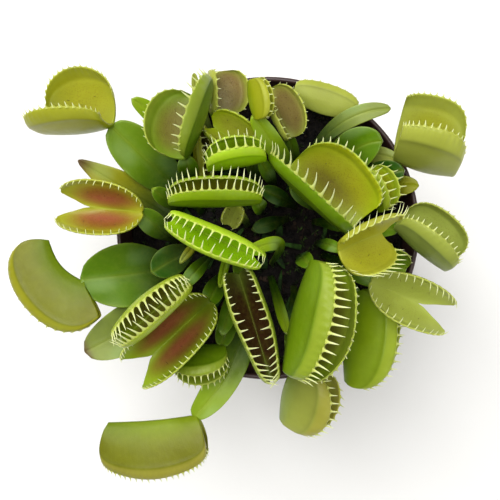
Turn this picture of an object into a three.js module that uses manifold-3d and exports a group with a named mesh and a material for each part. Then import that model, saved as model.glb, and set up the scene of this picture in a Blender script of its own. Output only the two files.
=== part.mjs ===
// A potted Venus flytrap: a round nursery pot, the peat in it and the leaves of one dense clump.
// Every leaf is one solid: a stalk that widens into a blade, a narrow neck, and a trap of two
// cupped lobes with a fringe of teeth. A few leaves have no trap.
// Millimetres, +Z up. The origin is the middle of the pot's flat base.

import * as THREE from 'three';
import { mergeVertices } from 'three/addons/utils/BufferGeometryUtils.js';
import Module from 'manifold-3d';

const wasm = await Module();
wasm.setup();

// Pot
const POT_HEIGHT = 80;
const POT_RIM_RADIUS = 45.5;
const POT_RIM_BAND = 9;
const POT_SHOULDER_RADIUS = 43.7;
const POT_BASE_RADIUS = 31;
const POT_WALL = 1.3;
const POT_FLOOR = 1.8;
const POT_SIDES = 36;
const DRAIN_HOLES = 5;
const DRAIN_RADIUS = 3.6;
const DRAIN_RING_RADIUS = 20;

// Peat
const FIT_GAP = 0.4;
const PEAT_EDGE_HEIGHT = 69;
const PEAT_MOUND = 2.5;
const PEAT_LUMP = 0.7;
const PEAT_SIDES = 24;
const PEAT_RINGS = [8, 17, 26, 34];
const HOLE_RADIUS = 1.75;
const HOLE_BOTTOM = 65;

// Leaf stalk and blade
const STUB_BOTTOM = HOLE_BOTTOM + 0.4;
const STUB_TOP = PEAT_EDGE_HEIGHT + PEAT_MOUND + 0.5;
const STALK_HALF_WIDTH = 1.05;
const STALK_THICKNESS = 1.5;
const NECK_HALF_WIDTH = 0.95;
const NECK_INSET = 0.9;
const NECK_DROP = 0.3;
const STALK_RISE = 0.55;
const STALK_LEAN = 0.08;
const STALK_RUN = 0.45;
const STALK_ARRIVAL = 0.6;
const BLADE_EDGE = 0.65;
const BLADE_RIB = 1.5;
const BLADE_FOLD = 0.3;
const BLADE_WIDEST_AT = 0.74;
const BLADE_STATIONS = [0, 0.26, 0.5, 0.74, 0.88, 0.96, 1];

// Trap
const LOBE_RIB_THICKNESS = 1.5;
const RIB_HALF_WIDTH = 0.55;
const LOBE_MARGIN_THICKNESS = 0.8;
const LOBE_ROWS = [0, 0.36, 0.74, 1];
const LOBE_COLUMNS = 6;
const LOBE_CAMBER = 0.07;
const LOBE_NEAR = 0.3;
const LOBE_FAR = 0.22;
const LOBE_EAR = 0.05;
const MARGIN_BEND = 30;
const MARGIN_BEND_FROM = 0.78;
const TOOTH_WIDTH = 0.95;
const TOOTH_SPACING = 3.1;
const TOOTH_CROWDING = 1.35;
const TOOTH_FLARE = 1.35;
const TOOTH_INTURN = 50;
const TOOTH_FAN = 0.7;

// Colours
const POT_COLOUR = 0x2b201d;
const PEAT_COLOUR = 0x17130f;
const TINTS = { green: 0x6f9a1c, lime: 0x9fbf2a, olive: 0x9a9c2e, pale: 0xa9bd6a, deep: 0x3f6e2a };

const UP = new THREE.Vector3(0, 0, 1);
const radians = THREE.MathUtils.degToRad;
const mix = THREE.MathUtils.lerp;
const ease = THREE.MathUtils.smoothstep;

// Leaves
// root: where the stalk leaves the peat. neck: where the trap begins, or the blade's tip.
// blade: the stalk's greatest width. widest: where along the stalk that is.
// heading, arrive and run: the way the stalk comes to its neck, in plan and above level, and over
// how much of its reach.
// turn and tilt: the way the trap points, in plan and above level. left and right: how far each
// lobe leans from upright towards the trap's right side, at the rib's two ends where two are given.
// cup: how hollow the lobes are.
// near, far and taper: the lobes' height at their two ends, and how much they narrow towards the
// far end. ear and tip: how far they run past the rib at its near end and at its far end, where the
// left and the right lobe may differ. camber: how far the rib bows away from the mouth.
// teeth: their length on the left and the right lobe.
const LEAVES = [
  {
    root: [-20, 5], neck: [-45.6, 30.2, 88], blade: 14, tint: 'olive',
    trap: {
      turn: 184, tilt: -22, length: 18.5, width: 18.5,
      left: 13, right: 84, cup: 24, near: 0.5, far: 0.4, tip: [0.26, 0.16], teeth: [2, 1.6],
    },
  },
  {
    root: [-22.8, 14.2], neck: [-24, 19.2, 100], blade: 6, tint: 'green',
    trap: {
      turn: 71, tilt: -16, length: 18, width: 15.5,
      left: -82, right: -10, cup: 26, near: 0.35, far: 0.35, tip: [0.05, 0.3], teeth: [1.2, 3.4],
    },
  },
  {
    root: [-15.5, 9.5], neck: [-19.9, 14.9, 83.2], blade: 3.5, tint: 'olive',
    trap: {
      turn: 97, tilt: 5, length: 15, width: 8,
      left: 12, right: 32, cup: 26, teeth: [2.6, 2],
    },
  },
  {
    root: [-8, 20], neck: [-16, 34, 86.2], blade: 4, tint: 'pale',
    trap: {
      turn: 92, tilt: 5, length: 11.5, width: 11,
      left: 6, right: 80, cup: 24, near: 0.5, far: 0.5, teeth: [2, 1.4],
    },
  },
  {
    root: [-3.5, 13], neck: [-5, 22.4, 91.8], blade: 4, tint: 'lime',
    trap: {
      turn: 150, tilt: 0, length: 12.2, width: 9.5,
      left: -22, right: 44, cup: 22, near: 0.3, far: 0.35, tip: 0.2, teeth: [2, 2],
    },
  },
  {
    root: [2, 12], neck: [-1.5, 18.9, 102.2], blade: 4, tint: 'lime',
    trap: {
      turn: 190, tilt: 0, length: 15.4, width: 11,
      left: 20, right: 42, cup: 26, near: 0.3, far: 0.25, teeth: [3.8, 3],
    },
  },
  {
    root: [-2, 5], neck: [-3.4, 7.2, 107], blade: 4.5, tint: 'green',
    trap: {
      turn: 181, tilt: 3, length: 23.5, width: 12,
      left: 12, right: 32, cup: 30, near: 0.25, far: 0.2, teeth: [3.4, 4],
    },
  },
  {
    root: [1.5, -10.5], neck: [-5.5, -7.6, 109], blade: 4, heading: 205, arrive: 8, run: 1,
    tint: 'lime',
    trap: {
      turn: 156, tilt: -3, length: 22.5, width: 11.5,
      left: -22, right: 10, cup: 22, ear: 0.2, near: 0.3, far: 0.3, tip: 0.08, teeth: [3, 3],
    },
  },
  {
    root: [14, 2], neck: [23.8, 0.2, 93], blade: 4.5, arrive: 70, tint: 'lime',
    trap: {
      turn: 138, tilt: 5, length: 24.5, width: 18.3,
      left: -4, right: 62, cup: 28, near: 0.55, far: 0.35, tip: [0.3, 0.02], teeth: [6.6, 3.6],
    },
  },
  {
    root: [15, -4.5], neck: [18.7, -6.8, 112.4], blade: 3.5, tint: 'lime',
    trap: {
      turn: 22, tilt: -26, length: 14.5, width: 11.3,
      left: -18, right: 62, cup: 24, near: 0.5, far: 0.35, tip: [0.35, 0.05], teeth: [4.8, 4.2],
    },
  },
  {
    root: [9.3, -8.6], neck: [11.8, -10.2, 106], blade: 5, tint: 'lime',
    trap: {
      turn: 256, tilt: -4, length: 30, width: 19.5,
      left: -56, right: -24, cup: 28, near: 0.34, far: 0.34, teeth: [2.6, 4.6],
    },
  },
  {
    root: [-8, -8], neck: [-8.4, -13.4, 104.5], blade: 4.5, tint: 'green',
    trap: {
      turn: 286.5, tilt: -3, length: 30, width: 12.5,
      left: [-22, -34], right: [38, 16], cup: 26, near: 0.4, far: 0.12, taper: 0.5, teeth: [3.2, 3.2],
    },
  },
  {
    root: [-17, -8], neck: [-23.1, -15.7, 107], blade: 4.5, tint: 'green',
    trap: {
      turn: 221, tilt: -4, length: 23.5, width: 11.5,
      left: -13, right: 22, cup: 28, near: 0.2, far: 0.3, teeth: [3.4, 3.4],
    },
  },
  {
    root: [-13, -13], neck: [-17.2, -21.7, 94], blade: 6, tint: 'lime',
    trap: {
      turn: 223, tilt: -12, length: 23, width: 13,
      left: -38, right: 40, cup: 16, near: 0.12, far: 0.6, tip: [0.3, 0.26], teeth: [2, 2.6],
    },
  },
  {
    root: [-9, -19], neck: [-13, -35, 86.6], blade: 6, tint: 'green',
    trap: {
      turn: 187, tilt: -2, length: 15, width: 10.5,
      left: -86, right: -40, cup: 18, teeth: [2, 2.4],
    },
  },
  {
    root: [-4.5, -21.5], neck: [-21.3, -56.3, 83], blade: 10, heading: 220, arrive: -8, run: 0.42,
    widest: 0.6, tint: 'olive',
    trap: {
      turn: 186, tilt: -8, length: 27, width: 17.5,
      left: -104, right: -84, cup: 18, ear: 0.08, near: 0.5, far: 0.5, tip: 0.12, camber: -0.02,
      teeth: [2, 2.2],
    },
  },
  {
    root: [8, -18], neck: [8, -40, 91], blade: 6, tint: 'olive',
    trap: {
      turn: 256, tilt: -20, length: 18, width: 16,
      left: -86, right: -52, cup: 24, near: 0.4, far: 0.4, teeth: [2, 3],
    },
  },
  {
    root: [-24, -11], neck: [-54.8, -16.2, 87.5], blade: 19, heading: 184, run: 0.6, tint: 'olive',
    trap: {
      turn: 131, tilt: -6, length: 16, width: 17.8,
      left: -106, right: -88, cup: 16, ear: 0.7, near: 0.16, far: 0.4, tip: 0.3, camber: -0.13,
      teeth: [1.2, 1.2],
    },
  },
  {
    root: [-28, -4], neck: [-36.5, 4.3, 96], blade: 7, tint: 'olive',
    trap: {
      turn: 174, tilt: -22, length: 16.5, width: 10.5,
      left: -50, right: 46, cup: 14, near: 0.04, far: 0.45, tip: [0.55, 0.5], teeth: [2.2, 2.2],
    },
  },
  {
    root: [14.5, 17], neck: [37.4, 20.2, 85.3], blade: 5, heading: -35, tint: 'pale',
    trap: {
      turn: 345, tilt: 0, length: 17.6, width: 22.2,
      left: -80, right: -24, cup: 24, ear: 0.1, near: 0.85, far: 0.42, tip: 0.02, teeth: [1.6, 2],
    },
  },
  {
    root: [24, 0], neck: [36.8, 0.3, 92], blade: 5, tint: 'olive',
    trap: {
      turn: 320, tilt: -5, length: 18.5, width: 15,
      left: -60, right: -18, cup: 30, near: 0.4, far: 0.45, teeth: [1.6, 2],
    },
  },
  {
    root: [17, -8], neck: [29.5, -15.8, 96], blade: 5, tint: 'green',
    trap: {
      turn: 336, tilt: -20, length: 16, width: 10.5,
      left: -40, right: 46, cup: 14, near: 0.04, far: 0.55, tip: [0.55, 0.6], teeth: [3, 2.6],
    },
  },
  {
    root: [21, 8.5], neck: [27.8, 16.2, 90], blade: 4, arrive: 45, tint: 'green',
    trap: {
      turn: 292, tilt: -10, length: 12, width: 8.5,
      left: -75, right: -25, cup: 22, teeth: [3, 3],
    },
  },
  {
    root: [21, -5], neck: [32.5, -9.5, 86], blade: 3.5, tint: 'deep',
    trap: {
      turn: 340, tilt: -5, length: 8.5, width: 7,
      left: -40, right: 40, cup: 18, teeth: [2, 2],
    },
  },
  {
    root: [9, 17], neck: [6.2, 26.2, 90], blade: 4, tint: 'pale',
    trap: {
      turn: 116, tilt: 0, length: 14.5, width: 9.5,
      left: -10, right: 50, cup: 22, teeth: [2.4, 2.4],
    },
  },
  {
    root: [13, -12], neck: [27, -18.9, 86], blade: 5, tint: 'green',
    trap: {
      turn: 262, tilt: -5, length: 27, width: 14,
      left: -88, right: -64, cup: 22, teeth: [1.4, 2.8],
    },
  },
  {
    root: [10.5, 11], neck: [-4, 30.5, 101], blade: 6, tint: 'lime',
    trap: {
      turn: 100, tilt: 5, length: 10.5, width: 6.5,
      left: 52, right: 80, cup: 24, near: 0.3, far: 0.45, teeth: [1.2, 1.2],
    },
  },
  {
    root: [-6, 1], neck: [-8.8, 6, 98], blade: 2.4, tint: 'pale',
    trap: {
      turn: 245, tilt: -10, length: 6, width: 5,
      left: -30, right: 30, cup: 20, teeth: [2.2, 2.2],
    },
  },
  { root: [23, 12.5], neck: [39.7, 16.8, 88.3], blade: 8.5, heading: 10, run: 0.5, tint: 'deep' },
  { root: [-24, 0], neck: [-56, 19.8, 86.5], blade: 9, tint: 'olive' },
  { root: [-18.5, 17.5], neck: [-39.5, 37, 93], blade: 6, heading: 150, tint: 'lime' },
  { root: [-22, -14], neck: [-54.3, -36.6, 85.3], blade: 14, heading: 203, run: 0.5, tint: 'pale' },
  { root: [-26.3, 5.9], neck: [-32.9, 10.6, 98], blade: 5, tint: 'deep' },
  {
    root: [17, 22], neck: [23.6, 32.5, 85.5], blade: 4, arrive: 20, tint: 'pale',
    trap: {
      turn: 162, tilt: 3, length: 17, width: 7.6,
      left: 82, right: 98, cup: 14, ear: 0.1, near: 0.5, far: 0.5, teeth: [0.9, 0.9],
    },
  },
  { root: [17, 12], neck: [33, 25, 91], blade: 12, heading: -2, run: 0.55, tint: 'green' },
  { root: [25, 6.5], neck: [44.5, 12.4, 84.5], blade: 6.5, heading: -10, run: 0.5, tint: 'olive' },
  { root: [-13.5, 18.5], neck: [-22, 45.8, 84], blade: 3, heading: 95, run: 0.4, tint: 'pale' },
  { root: [1, -15], neck: [5.2, -30.3, 97], blade: 3.2, tint: 'lime' },
  { root: [-21, -5], neck: [-33.8, -13, 92], blade: 9, tint: 'deep' },
  { root: [6, 3], neck: [-4.5, -0.5, 86], blade: 4.5, tint: 'pale' },
  { root: [8.5, 6.5], neck: [-2, 11, 94], blade: 5, tint: 'deep' },
  { root: [17.5, 5], neck: [6.5, 11.5, 92], blade: 5.5, tint: 'green' },
  { root: [-19, -1.5], neck: [-25.2, -10, 96], blade: 2.6, tint: 'lime' },
  { root: [-11, -4], neck: [-13.9, -16.8, 98], blade: 2.6, tint: 'lime' },
  { root: [-8, -13], neck: [-13.5, -31, 92], blade: 5, tint: 'green' },
  {
    root: [11.5, 21.5], neck: [35.4, 34.4, 91.5], blade: 5.5, heading: 0, arrive: 0, run: 0.55,
    tint: 'pale',
  },
];

function random(seed) {
  let state = seed * 2654435761 >>> 0;
  return () => {
    state = (Math.imul(state, 1664525) + 1013904223) >>> 0;
    return state / 4294967296;
  };
}

// A closed surface put together from points and faces.
class Surface {
  constructor() {
    this.points = [];
    this.faces = [];
  }

  point(v) {
    this.points.push(v.x, v.y, v.z);
    return this.points.length / 3 - 1;
  }

  triangle(a, b, c) {
    this.faces.push(a, b, c);
  }

  quad(a, b, c, d) {
    this.faces.push(a, b, c, a, c, d);
  }

  solid() {
    const positions = new Float32Array(this.points);
    const mesh = { numProp: 3, vertProperties: positions, triVerts: new Uint32Array(this.faces) };
    return new wasm.Manifold(new wasm.Mesh(mesh));
  }
}

function geometryOf(solid) {
  const { vertProperties, triVerts } = solid.getMesh();
  const geometry = new THREE.BufferGeometry();
  geometry.setAttribute('position', new THREE.BufferAttribute(new Float32Array(vertProperties), 3));
  geometry.setIndex(new THREE.BufferAttribute(new Uint32Array(triVerts), 1));
  geometry.computeVertexNormals();
  return geometry;
}

function solidOf(geometry) {
  const bare = geometry.clone();
  bare.deleteAttribute('normal');
  bare.deleteAttribute('uv');
  const merged = mergeVertices(bare, 1e-4);
  const mesh = {
    numProp: 3,
    vertProperties: new Float32Array(merged.attributes.position.array),
    triVerts: new Uint32Array(merged.index.array),
  };
  return new wasm.Manifold(new wasm.Mesh(mesh));
}

function uprightCylinder(radius, bottom, top, x, y, sides) {
  const geometry = new THREE.CylinderGeometry(radius, radius, top - bottom, sides);
  geometry.rotateX(Math.PI / 2);
  geometry.translate(x, y, (bottom + top) / 2);
  return solidOf(geometry);
}

// The pot's inner radius at a height.
function potInside(height) {
  const shoulder = POT_HEIGHT - POT_RIM_BAND;
  const share = THREE.MathUtils.clamp(height / shoulder, 0, 1);
  return mix(POT_BASE_RADIUS, POT_SHOULDER_RADIUS, share) - POT_WALL;
}

function makePot() {
  const shoulder = POT_HEIGHT - POT_RIM_BAND;
  const profile = [
    [0, 0],
    [POT_BASE_RADIUS - 1, 0],
    [POT_BASE_RADIUS, 1],
    [POT_SHOULDER_RADIUS, shoulder],
    [POT_RIM_RADIUS - 0.2, shoulder],
    [POT_RIM_RADIUS, POT_HEIGHT - 0.6],
    [POT_RIM_RADIUS - 0.6, POT_HEIGHT],
    [POT_RIM_RADIUS - POT_WALL - 0.3, POT_HEIGHT - 0.3],
    [potInside(shoulder) + 0.6, shoulder + 1.2],
    [potInside(shoulder), shoulder - 1],
    [potInside(POT_FLOOR), POT_FLOOR],
    [0, POT_FLOOR],
  ];
  const shell = new THREE.LatheGeometry(profile.map(([r, z]) => new THREE.Vector2(r, z)), POT_SIDES);
  shell.rotateX(Math.PI / 2);
  let pot = solidOf(shell);
  for (let i = 0; i < DRAIN_HOLES; i++) {
    const angle = 2 * Math.PI * i / DRAIN_HOLES;
    const x = DRAIN_RING_RADIUS * Math.cos(angle);
    const y = DRAIN_RING_RADIUS * Math.sin(angle);
    pot = pot.subtract(uprightCylinder(DRAIN_RADIUS, -1, POT_FLOOR + 1, x, y, 10));
  }
  return geometryOf(pot);
}

function peatHeight(x, y) {
  const radius = Math.hypot(x, y) / potInside(PEAT_EDGE_HEIGHT);
  const lumps = Math.sin(x * 0.42 + 1) * Math.cos(y * 0.37) + 0.6 * Math.sin(x * 0.17 - y * 0.31);
  return PEAT_EDGE_HEIGHT + PEAT_MOUND * (1 - radius * radius) + PEAT_LUMP * lumps * (1 - radius);
}

function makePeat() {
  const surface = new Surface();
  const bottom = POT_FLOOR + FIT_GAP;
  const topRadius = potInside(PEAT_EDGE_HEIGHT) - FIT_GAP;
  const ring = (radius, height) => {
    const indices = [];
    for (let i = 0; i < PEAT_SIDES; i++) {
      const angle = 2 * Math.PI * i / PEAT_SIDES;
      const x = radius * Math.cos(angle);
      const y = radius * Math.sin(angle);
      indices.push(surface.point(new THREE.Vector3(x, y, height ?? peatHeight(x, y))));
    }
    return indices;
  };
  const rings = PEAT_RINGS.map(radius => ring(radius));
  rings.push(ring(topRadius, PEAT_EDGE_HEIGHT));
  rings.push(ring(potInside(bottom) - FIT_GAP, bottom));
  const crown = surface.point(new THREE.Vector3(0, 0, peatHeight(0, 0)));
  const foot = surface.point(new THREE.Vector3(0, 0, bottom));
  for (let i = 0; i < PEAT_SIDES; i++) {
    const next = (i + 1) % PEAT_SIDES;
    surface.triangle(crown, rings[0][i], rings[0][next]);
    for (let k = 0; k + 1 < rings.length; k++) {
      surface.quad(rings[k][i], rings[k + 1][i], rings[k + 1][next], rings[k][next]);
    }
    surface.triangle(foot, rings.at(-1)[next], rings.at(-1)[i]);
  }
  let peat = surface.solid();
  for (const { root: [x, y] } of LEAVES) {
    peat = peat.subtract(uprightCylinder(HOLE_RADIUS, HOLE_BOTTOM, PEAT_EDGE_HEIGHT + 20, x, y, 6));
  }
  return geometryOf(peat);
}

// The way a leaf's stalk runs from the peat to its neck.
function stalkCurve(leaf) {
  const start = new THREE.Vector3(...leaf.root, STUB_TOP);
  const end = new THREE.Vector3(...leaf.neck);
  if (leaf.trap) {
    const { along, mouth } = trapFrame(leaf.trap);
    end.addScaledVector(along, NECK_INSET).addScaledVector(mouth, -NECK_DROP);
  }
  const across = new THREE.Vector3(end.x - start.x, end.y - start.y, 0);
  const lift = end.z - start.z;
  const reach = across.length();
  const outward = across.clone().normalize();
  const first = start.clone().addScaledVector(UP, STALK_RISE * lift)
    .addScaledVector(outward, STALK_LEAN * reach);
  const climb = STALK_ARRIVAL * Math.atan2(lift, reach);
  const arrive = leaf.arrive === undefined ? climb : radians(leaf.arrive);
  const turn = leaf.heading === undefined ? Math.atan2(outward.y, outward.x) : radians(leaf.heading);
  const heading = new THREE.Vector3(Math.cos(turn), Math.sin(turn), Math.tan(arrive)).normalize();
  const run = (leaf.run ?? STALK_RUN) * Math.hypot(reach, lift * 0.4);
  const second = end.clone().addScaledVector(heading, -run);
  return { curve: new THREE.CubicBezierCurve3(start, first, second, end), outward };
}

function bladeHalfWidth(leaf, share) {
  const widest = leaf.blade / 2;
  const place = leaf.widest ?? BLADE_WIDEST_AT;
  if (share < place) {
    return mix(STALK_HALF_WIDTH, widest, ease(share, 0.12, place));
  }
  const past = (share - place) / (1 - place);
  return mix(NECK_HALF_WIDTH, widest, Math.sqrt(Math.max(0, 1 - past * past)));
}

function makeStalk(leaf) {
  const { curve, outward } = stalkCurve(leaf);
  const surface = new Surface();
  const section = (centre, tangent, halfWidth, edge, rib, raise) => {
    const flat = new THREE.Vector3(tangent.x, tangent.y, 0).addScaledVector(outward, 0.25).normalize();
    const side = new THREE.Vector3().crossVectors(flat, UP);
    side.addScaledVector(tangent, -side.dot(tangent)).normalize();
    const top = new THREE.Vector3().crossVectors(side, tangent);
    const at = (across, up) => centre.clone().addScaledVector(side, across).addScaledVector(top, up);
    return [
      at(-halfWidth, raise + edge / 2), at(0, rib * 0.3), at(halfWidth, raise + edge / 2),
      at(halfWidth, raise - edge / 2), at(0, -rib * 0.7), at(-halfWidth, raise - edge / 2),
    ].map(v => surface.point(v));
  };
  const sections = [];
  const foot = new THREE.Vector3(...leaf.root, STUB_BOTTOM);
  sections.push(section(foot, UP, STALK_HALF_WIDTH, 1, STALK_THICKNESS, 0));
  for (const share of BLADE_STATIONS) {
    const halfWidth = bladeHalfWidth(leaf, share);
    const tangent = curve.getTangent(share);
    const centre = curve.getPoint(share);
    const spread = ease(share, 0.1, 0.5);
    const edge = mix(1, BLADE_EDGE, spread);
    const raise = BLADE_FOLD * spread * (halfWidth - 0.8);
    sections.push(section(centre, tangent, halfWidth, edge, BLADE_RIB, raise));
  }
  const count = sections.length;
  for (let k = 0; k + 1 < count; k++) {
    for (let i = 0; i < 6; i++) {
      const next = (i + 1) % 6;
      surface.quad(sections[k][i], sections[k][next], sections[k + 1][next], sections[k + 1][i]);
    }
  }
  const cap = ([a, b, c, d, e, f]) => {
    surface.quad(a, f, e, b);
    surface.quad(b, e, d, c);
  };
  cap(sections[0]);
  cap([...sections[count - 1]].reverse());
  return surface.solid();
}

// The trap's own directions: along its rib, to its right, upright, and out of its mouth.
function trapFrame(trap) {
  const turn = radians(trap.turn);
  const tilt = radians(trap.tilt);
  const level = Math.cos(tilt);
  const along = new THREE.Vector3(Math.cos(turn) * level, Math.sin(turn) * level, Math.sin(tilt));
  const right = new THREE.Vector3().crossVectors(along, UP).normalize();
  const upright = new THREE.Vector3().crossVectors(right, along);
  const middle = radians((leanAt(trap.left, 0.5) + leanAt(trap.right, 0.5)) / 2);
  const mouth = right.clone().multiplyScalar(Math.sin(middle)).addScaledVector(upright, Math.cos(middle));
  const apart = new THREE.Vector3().crossVectors(along, mouth);
  return { along, right, upright, mouth, apart };
}

// How far a lobe leans at a share of the way from its rib to its margin.
// A lean at a share of the rib's length, for one lean or for one at each end.
function leanAt(value, share) {
  const [near, far = near] = [value].flat();
  return mix(near, far, share);
}

function lobeLean(trap, side, across, share) {
  const lean = leanAt(side > 0 ? trap.right : trap.left, share);
  const curl = trap.cup * (1 - 2 * across) - MARGIN_BEND * ease(across, MARGIN_BEND_FROM, 1);
  return radians(lean + side * curl);
}

// The lobe's cross-section, as the way from its rib to its margin for a lobe of width 1.
function lobeReach(trap, side, across, share) {
  const steps = 16;
  const reach = { right: 0, upright: 0 };
  for (let i = 0; i < steps; i++) {
    const lean = lobeLean(trap, side, across * (i + 0.5) / steps, share);
    reach.right += Math.sin(lean) * across / steps;
    reach.upright += Math.cos(lean) * across / steps;
  }
  return reach;
}

function lobePoint(trap, frame, side, across, share) {
  const ends = mix(trap.near ?? LOBE_NEAR, trap.far ?? LOBE_FAR, share);
  const taper = 1 - (trap.taper ?? 0) * share;
  const height = trap.width * taper * mix(ends, 1, Math.sin(Math.PI * share) ** 0.8);
  const ear = trap.ear ?? LOBE_EAR;
  const tips = [trap.tip ?? LOBE_EAR].flat();
  const tip = side > 0 ? tips.at(-1) : tips[0];
  const marginAlong = mix(-ear, 1 + tip, 0.5 - 0.5 * Math.cos(Math.PI * share));
  const along = trap.length * mix(share, marginAlong, across * (2 - across));
  const camber = trap.camber ?? LOBE_CAMBER;
  const bow = camber * trap.length * Math.sin(Math.PI * share) * (1 - across);
  const reach = lobeReach(trap, side, across, share);
  return frame.neck.clone()
    .addScaledVector(frame.along, along)
    .addScaledVector(frame.apart, side * RIB_HALF_WIDTH * Math.min(1, 3 * across))
    .addScaledVector(frame.right, reach.right * height)
    .addScaledVector(frame.upright, reach.upright * height)
    .addScaledVector(frame.mouth, -bow);
}

// The way into the mouth, square to the lobe.
function lobeInward(trap, frame, side, across, share) {
  const lean = lobeLean(trap, side, across, share);
  return frame.right.clone().multiplyScalar(-side * Math.cos(lean))
    .addScaledVector(frame.upright, side * Math.sin(lean));
}

function makeTrap(trap, neck, draw) {
  const frame = { ...trapFrame(trap), neck: new THREE.Vector3(...neck) };
  const surface = new Surface();
  const ribThickness = THREE.MathUtils.clamp(0.11 * trap.width, 0.8, LOBE_RIB_THICKNESS);
  const marginThickness = THREE.MathUtils.clamp(0.09 * trap.width, 0.62, LOBE_MARGIN_THICKNESS);
  const pair = (side, across, share) => {
    const centre = lobePoint(trap, frame, side, across, share);
    const half = mix(ribThickness, marginThickness, Math.min(1, across * 1.6)) / 2;
    const inward = across === 0 ? frame.mouth : lobeInward(trap, frame, side, across, share);
    return {
      share,
      centre,
      inner: surface.point(centre.clone().addScaledVector(inward, half)),
      outer: surface.point(centre.clone().addScaledVector(inward, -half)),
    };
  };
  const columns = Array.from({ length: LOBE_COLUMNS + 1 }, (_, j) => j / LOBE_COLUMNS);
  const row = (side, across, shares) => shares.map(share => pair(side, across, share));

  // Margin points, close together at the root of each tooth. The two lobes' teeth alternate.
  const teeth = Math.max(4, Math.round(trap.length / TOOTH_SPACING));
  const half = TOOTH_WIDTH / 2 / (TOOTH_CROWDING * trap.length);
  const marginShares = side => {
    const shares = [0];
    for (let i = 0; i < teeth; i++) {
      const middle = 0.03 + 0.94 * (i + (side > 0 ? 0.3 : 0.7)) / teeth;
      shares.push(middle - half, middle + half);
    }
    return [...shares, 1];
  };
  const rows = [
    row(-1, 1, marginShares(-1)),
    row(-1, LOBE_ROWS[2], columns),
    row(-1, LOBE_ROWS[1], columns),
    row(1, 0, columns),
    row(1, LOBE_ROWS[1], columns),
    row(1, LOBE_ROWS[2], columns),
    row(1, 1, marginShares(1)),
  ];

  // Both faces between two rows, split alike.
  const both = (a, b, c) => {
    surface.triangle(a.inner, b.inner, c.inner);
    surface.triangle(a.outer, c.outer, b.outer);
  };
  for (let k = 0; k + 1 < rows.length; k++) {
    const [near, far] = [rows[k], rows[k + 1]];
    let i = 0;
    let j = 0;
    while (i + 1 < near.length || j + 1 < far.length) {
      const nearNext = near[i + 1]?.share ?? 2;
      const farNext = far[j + 1]?.share ?? 2;
      if (farNext < nearNext) {
        both(near[i], far[j], far[j + 1]);
        j++;
      } else {
        both(near[i], far[j], near[i + 1]);
        i++;
      }
    }
    const [a, b] = [near[0], far[0]];
    surface.quad(b.inner, a.inner, a.outer, b.outer);
    const [c, d] = [near.at(-1), far.at(-1)];
    surface.quad(c.inner, d.inner, d.outer, c.outer);
  }

  // The two margins, with a tooth on every other stretch.
  for (const side of [-1, 1]) {
    const margin = side > 0 ? rows.at(-1) : rows[0];
    for (let i = 0; i + 1 < margin.length; i++) {
      const [a, b] = side > 0 ? [margin[i + 1], margin[i]] : [margin[i], margin[i + 1]];
      const rim = [a.inner, b.inner, b.outer, a.outer];
      if (i % 2 === 0) {
        surface.quad(...rim);
        continue;
      }
      const share = (a.share + b.share) / 2;
      const left = leanAt(trap.left, share);
      const right = leanAt(trap.right, share);
      const lean = radians((left + right) / 2 + side * (TOOTH_FLARE * (right - left) / 2 - TOOTH_INTURN));
      const point = frame.right.clone().multiplyScalar(Math.sin(lean))
        .addScaledVector(frame.upright, Math.cos(lean));
      const fullLength = trap.teeth[side > 0 ? 1 : 0];
      const length = fullLength * mix(0.65, 1, Math.sin(Math.PI * share)) * mix(0.9, 1.1, draw());
      const heading = point.addScaledVector(frame.along, TOOTH_FAN * (share - 0.5)).normalize();
      const base = a.centre.clone().lerp(b.centre, 0.5);
      const tip = surface.point(base.addScaledVector(heading, length));
      rim.forEach((corner, k) => surface.triangle(corner, rim[(k + 1) % 4], tip));
    }
  }
  return surface.solid();
}

function makeLeaf(leaf, index) {
  let solid = makeStalk(leaf);
  if (leaf.trap) {
    solid = solid.add(makeTrap(leaf.trap, leaf.neck, random(index + 1)));
  }
  return geometryOf(solid);
}

const plant = new THREE.Group();

function addPiece(name, geometry, colour, roughness) {
  const material = new THREE.MeshStandardMaterial({ color: colour, roughness, metalness: 0 });
  const mesh = new THREE.Mesh(geometry, material);
  mesh.name = name;
  plant.add(mesh);
}

addPiece('pot', makePot(), POT_COLOUR, 0.45);
addPiece('peat', makePeat(), PEAT_COLOUR, 1);
LEAVES.forEach((leaf, index) => {
  const name = `leaf_${String(index + 1).padStart(2, '0')}`;
  addPiece(name, makeLeaf(leaf, index), TINTS[leaf.tint], 0.5);
});

export default plant;
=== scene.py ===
# A potted Venus flytrap, dressed for the render. Every leaf, the peat and the pot get a fine
# surface in the form of the solid that they replace, with teeth, trigger hairs, veins and colour.
# The sizes below are in millimetres and degrees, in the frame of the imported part.

import math
import random

import bmesh
import bpy
import numpy as np
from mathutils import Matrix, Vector, noise


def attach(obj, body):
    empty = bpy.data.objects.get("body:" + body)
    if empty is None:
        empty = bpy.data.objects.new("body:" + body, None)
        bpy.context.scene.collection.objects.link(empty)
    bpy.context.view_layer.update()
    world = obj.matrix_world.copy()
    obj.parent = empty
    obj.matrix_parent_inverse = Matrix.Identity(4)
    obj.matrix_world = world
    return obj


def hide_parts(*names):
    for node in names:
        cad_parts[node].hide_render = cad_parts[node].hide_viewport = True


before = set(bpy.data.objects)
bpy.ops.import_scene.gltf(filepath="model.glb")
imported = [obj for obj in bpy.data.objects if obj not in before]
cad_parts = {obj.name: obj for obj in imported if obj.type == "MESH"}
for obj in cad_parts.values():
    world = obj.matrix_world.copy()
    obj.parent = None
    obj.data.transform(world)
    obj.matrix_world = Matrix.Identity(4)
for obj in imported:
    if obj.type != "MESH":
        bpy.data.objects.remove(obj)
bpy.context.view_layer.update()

MM = 0.001
TURN = 2 * math.pi
UP = np.array([0.0, 0.0, 1.0])

# One ripple of a blade's edge or of a lobe, in radians
WAVE = 6.28

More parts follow.
